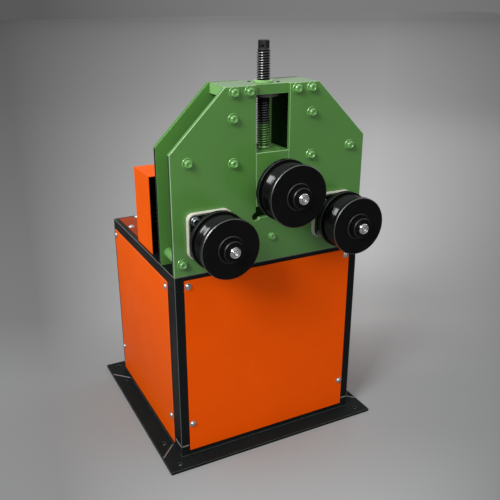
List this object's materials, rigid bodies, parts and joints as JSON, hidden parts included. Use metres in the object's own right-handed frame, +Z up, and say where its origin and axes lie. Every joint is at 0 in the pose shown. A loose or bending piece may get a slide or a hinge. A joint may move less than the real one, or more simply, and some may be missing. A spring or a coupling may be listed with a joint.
{
  "type": "three-roll bending machine",
  "caption": "Floor-standing ring roller with two driven lower rollers, an adjustable top roller on a screw slide, a plated head and a sheet-clad stand.",
  "frame": {"origin": "middle of the footprint on the floor, under the machine's bounding box", "axes": "+Z up, X along the row of rollers, the rollers face -Y"},
  "size_m": [0.65, 0.7258, 1.1043],
  "materials": {
    "frame_black": "semi-gloss black paint",
    "panel_orange": "smooth orange-red paint",
    "head_green": "smooth mid-green enamel",
    "bearing_black": "black painted castings",
    "pad_cream": "pale cream painted pads",
    "roller_black": "polished black finish",
    "shaft_steel": "turned and ground steel",
    "gear_steel": "oiled dark steel",
    "screw_steel": "dark oiled threaded steel",
    "bush_bronze": "plain bronze",
    "motor_grey": "blue-grey paint"
  },
  "bodies": {
    "stand": {"base_rail_front": "frame_black", "base_rail_rear": "frame_black", "base_rail_left": "frame_black", "base_rail_right": "frame_black", "post_front_left": "frame_black", "post_front_right": "frame_black", "post_rear_left": "frame_black", "post_rear_right": "frame_black", "top_rail_front": "frame_black", "top_rail_rear": "frame_black", "top_rail_left": "frame_black", "top_rail_right": "frame_black", "head_support_bar": "frame_black", "guard_support_bar": "frame_black", "motor_shelf": "frame_black", "front_panel": "panel_orange", "rear_panel": "panel_orange", "left_panel": "panel_orange", "right_panel": "panel_orange", "top_cover": "panel_orange", "gear_guard": "panel_orange", "front_head_plate": "head_green", "rear_head_plate": "head_green", "crossbar": "head_green", "lead_nut": "head_green", "foot_tie_left": "head_green", "foot_tie_right": "head_green", "shoulder_tie_left": "head_green", "shoulder_tie_right": "head_green", "slot_tie_left": "head_green", "slot_tie_right": "head_green", "upper_tie_left": "head_green", "upper_tie_right": "head_green", "left_front_bearing": "bearing_black", "right_front_bearing": "bearing_black", "left_rear_bearing": "bearing_black", "right_rear_bearing": "bearing_black", "left_bearing_pad": "pad_cream", "right_bearing_pad": "pad_cream", "gear_axle": "shaft_steel", "motor": "motor_grey", "gearbox": "motor_grey"},
    "left_roller_shaft": {"left_shaft": "shaft_steel", "left_roller": "roller_black", "left_roller_nut": "roller_black", "left_gear": "gear_steel"},
    "right_roller_shaft": {"right_shaft": "shaft_steel", "right_roller": "roller_black", "right_roller_nut": "roller_black", "right_gear": "gear_steel"},
    "idler_gear": {"drive_gear": "gear_steel", "gear_bush": "bush_bronze"},
    "pinion": {"motor_pinion": "gear_steel"},
    "carriage": {"carriage_block": "head_green", "carriage_bush": "bush_bronze", "screw_keeper": "head_green"},
    "top_roller_shaft": {"top_shaft": "shaft_steel", "top_roller": "roller_black", "top_roller_nut": "roller_black"},
    "screw": {"lead_screw": "screw_steel"}
  },
  "joints": [
    {"name": "idler_gear_spin", "type": "hinge", "parent": "stand", "child": "idler_gear", "pos_m": [0, -0.2071, 0.61715], "axis": [0, 1, 0], "continuous": true},
    {"name": "left_roller_spin", "type": "hinge", "parent": "stand", "child": "left_roller_shaft", "pos_m": [-0.18, -0.2071, 0.6553], "axis": [0, 1, 0], "continuous": true},
    {"name": "right_roller_spin", "type": "hinge", "parent": "stand", "child": "right_roller_shaft", "pos_m": [0.18, -0.2071, 0.6553], "axis": [0, 1, 0], "continuous": true},
    {"name": "pinion_spin", "type": "hinge", "parent": "stand", "child": "pinion", "pos_m": [0, -0.2071, 0.46515], "axis": [0, 1, 0], "continuous": true},
    {"name": "carriage_slide", "type": "slide", "parent": "stand", "child": "carriage", "axis": [0, 0, 1], "range_m": [-0.028, 0.09]},
    {"name": "screw_turn", "type": "hinge", "parent": "carriage", "child": "screw", "pos_m": [0, -0.1541, 0.85], "axis": [0, 0, 1], "range_deg": [-1700, 5450]},
    {"name": "top_roller_spin", "type": "hinge", "parent": "carriage", "child": "top_roller_shaft", "pos_m": [0, -0.2071, 0.7583], "axis": [0, 1, 0], "continuous": true}
  ],
  "couplings": [
    {"joint": "left_roller_spin", "follows": "idler_gear_spin", "ratio": -1.5556},
    {"joint": "right_roller_spin", "follows": "idler_gear_spin", "ratio": -1.5556},
    {"joint": "pinion_spin", "follows": "idler_gear_spin", "ratio": -2.8},
    {"joint": "screw_turn", "follows": "carriage_slide", "rad_per_m": 1047.2}
  ]
}
